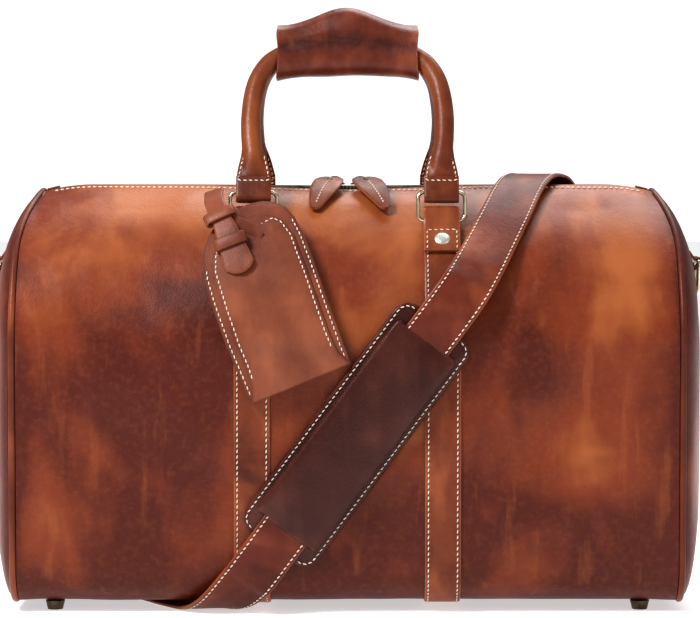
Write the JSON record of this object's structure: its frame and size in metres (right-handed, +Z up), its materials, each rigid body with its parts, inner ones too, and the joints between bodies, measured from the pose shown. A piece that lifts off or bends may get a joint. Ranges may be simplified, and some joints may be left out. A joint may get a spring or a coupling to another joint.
{
  "type": "duffel bag",
  "caption": "Leather duffel bag with arched zip top, two roll handles joined by a wrap, end D-rings, luggage tag and a loose padded shoulder strap.",
  "frame": {"origin": "centre of the flat underside of the middle foot, on the surface the bag stands on", "axes": "+X along the bag towards its right end seen from the front, +Y towards the rear, +Z up"},
  "size_m": [0.556, 0.3138, 0.4597],
  "materials": {
    "body_leather": "waxed pull-up leather, satin",
    "trim_leather": "waxed pull-up leather, dark, satin",
    "handle_leather": "smooth rolled leather, satin",
    "tag_leather": "waxed leather, satin",
    "hardware": "pale antique brass, satin",
    "rivets": "pale nickel, satin",
    "zip_tape": "woven tape with metal teeth",
    "zip_metal": "antique brass, satin",
    "lining": "plain woven cotton",
    "board": "pressed board",
    "card": "plain card"
  },
  "bodies": {
    "bag": {"back_panel": "body_leather", "base_board": "board", "base_panel": "trim_leather", "foot_centre": "hardware", "foot_front_left": "hardware", "foot_front_right": "hardware", "foot_rear_left": "hardware", "foot_rear_right": "hardware", "front_hook_eye": "hardware", "front_left_anchor": "trim_leather", "front_left_rivet": "rivets", "front_panel": "body_leather", "front_right_anchor": "trim_leather", "front_right_rivet": "rivets", "front_zip_tape": "zip_tape", "left_band": "trim_leather", "left_dring_tab": "trim_leather", "left_end_panel": "body_leather", "left_piping": "trim_leather", "left_zip_end": "trim_leather", "lining": "lining", "rear_hook_eye": "hardware", "rear_left_anchor": "trim_leather", "rear_left_rivet": "rivets", "rear_right_anchor": "trim_leather", "rear_right_rivet": "rivets", "rear_zip_tape": "zip_tape", "right_band": "trim_leather", "right_dring_tab": "trim_leather", "right_end_panel": "body_leather", "right_piping": "trim_leather", "right_zip_end": "trim_leather", "shoulder_strap": "trim_leather"},
    "front_rings": {"front_left_ring": "hardware", "front_right_ring": "hardware"},
    "rear_rings": {"rear_left_ring": "hardware", "rear_right_ring": "hardware"},
    "front_handle": {"front_handle": "handle_leather"},
    "rear_handle": {"rear_handle": "handle_leather", "handle_wrap": "trim_leather"},
    "wrap_flap": {"wrap_flap": "trim_leather"},
    "left_slider": {"left_slider": "zip_metal"},
    "right_slider": {"right_slider": "zip_metal"},
    "left_pull": {"left_pull_link": "zip_metal", "left_pull_leaf": "trim_leather"},
    "right_pull": {"right_pull_link": "zip_metal", "right_pull_leaf": "trim_leather"},
    "left_dring": {"left_dring": "hardware"},
    "right_dring": {"right_dring": "hardware"},
    "tag": {"tag_body": "tag_leather", "tag_card": "card", "tag_panel": "tag_leather", "tag_strap": "tag_leather"},
    "pad": {"pad_base": "trim_leather", "pad_sleeve": "trim_leather"},
    "rear_hook": {"rear_hook": "hardware"},
    "rear_gate": {"rear_hook_gate": "hardware"},
    "front_hook": {"front_hook": "hardware"},
    "front_gate": {"front_hook_gate": "hardware"}
  },
  "joints": [
    {"name": "front_rings_hinge", "type": "hinge", "parent": "bag", "child": "front_rings", "pos_m": [0, -0.069, 0.2945], "axis": [1, 0, 0], "range_deg": [0, 12]},
    {"name": "front_handle_swing", "type": "hinge", "parent": "front_rings", "child": "front_handle", "pos_m": [0, -0.0645, 0.316], "axis": [1, 0, 0], "range_deg": [0, 100], "deforming": ["wrap_flap"]},
    {"name": "rear_rings_hinge", "type": "hinge", "parent": "bag", "child": "rear_rings", "pos_m": [0, 0.069, 0.2945], "axis": [1, 0, 0], "range_deg": [-12, 0]},
    {"name": "rear_handle_swing", "type": "hinge", "parent": "rear_rings", "child": "rear_handle", "pos_m": [0, 0.0645, 0.316], "axis": [1, 0, 0], "range_deg": [-100, 0]},
    {"name": "wrap_flap_open", "type": "hinge", "parent": "rear_handle", "child": "wrap_flap", "pos_m": [0, -0.006, 0.459], "axis": [1, 0, 0], "range_deg": [-150, 0]},
    {"name": "left_slider_slide", "type": "slide", "parent": "bag", "child": "left_slider", "axis": [1, 0, 0], "range_m": [-0.2, 0]},
    {"name": "right_slider_slide", "type": "slide", "parent": "bag", "child": "right_slider", "axis": [1, 0, 0], "range_m": [0, 0.07]},
    {"name": "left_pull_swing", "type": "hinge", "parent": "left_slider", "child": "left_pull", "pos_m": [-0.01, 0, 0.3268], "axis": [1, 0, 0], "range_deg": [-150, 0]},
    {"name": "right_pull_swing", "type": "hinge", "parent": "right_slider", "child": "right_pull", "pos_m": [0.01, 0, 0.3268], "axis": [1, 0, 0], "range_deg": [-150, 0]},
    {"name": "left_dring_swing", "type": "hinge", "parent": "bag", "child": "left_dring", "pos_m": [-0.274, 0, 0.261], "axis": [0, 1, 0], "range_deg": [0, 100]},
    {"name": "right_dring_swing", "type": "hinge", "parent": "bag", "child": "right_dring", "pos_m": [0.274, 0, 0.261], "axis": [0, 1, 0], "range_deg": [-100, 0]},
    {"name": "tag_lift", "type": "hinge", "parent": "bag", "child": "tag", "pos_m": [-0.085, -0.08, 0.302], "axis": [1, 0, 0], "range_deg": [-60, 0]},
    {"name": "pad_slide", "type": "slide", "parent": "bag", "child": "pad", "axis": [-0.5965, 0, -0.8026], "range_m": [-0.015, 0.015]},
    {"name": "rear_hook_swivel", "type": "hinge", "parent": "bag", "child": "rear_hook", "pos_m": [0.192, 0.1205, 0.156], "axis": [0, 0, 1], "range_deg": [-25, 20]},
    {"name": "rear_gate_open", "type": "hinge", "parent": "rear_hook", "child": "rear_gate", "pos_m": [0.1982, 0.1205, 0.1345], "axis": [0, 1, 0], "range_deg": [0, 25], "stiffness_Nm_per_rad": 0.02},
    {"name": "front_hook_swivel", "type": "hinge", "parent": "bag", "child": "front_hook", "pos_m": [-0.1855, 0.1345, 0.005], "axis": [0, 1, 0], "range_deg": [-12, 12]},
    {"name": "front_gate_open", "type": "hinge", "parent": "front_hook", "child": "front_gate", "pos_m": [-0.1793, 0.156, 0.005], "axis": [0, 0, 1], "range_deg": [0, 25], "stiffness_Nm_per_rad": 0.02}
  ]
}
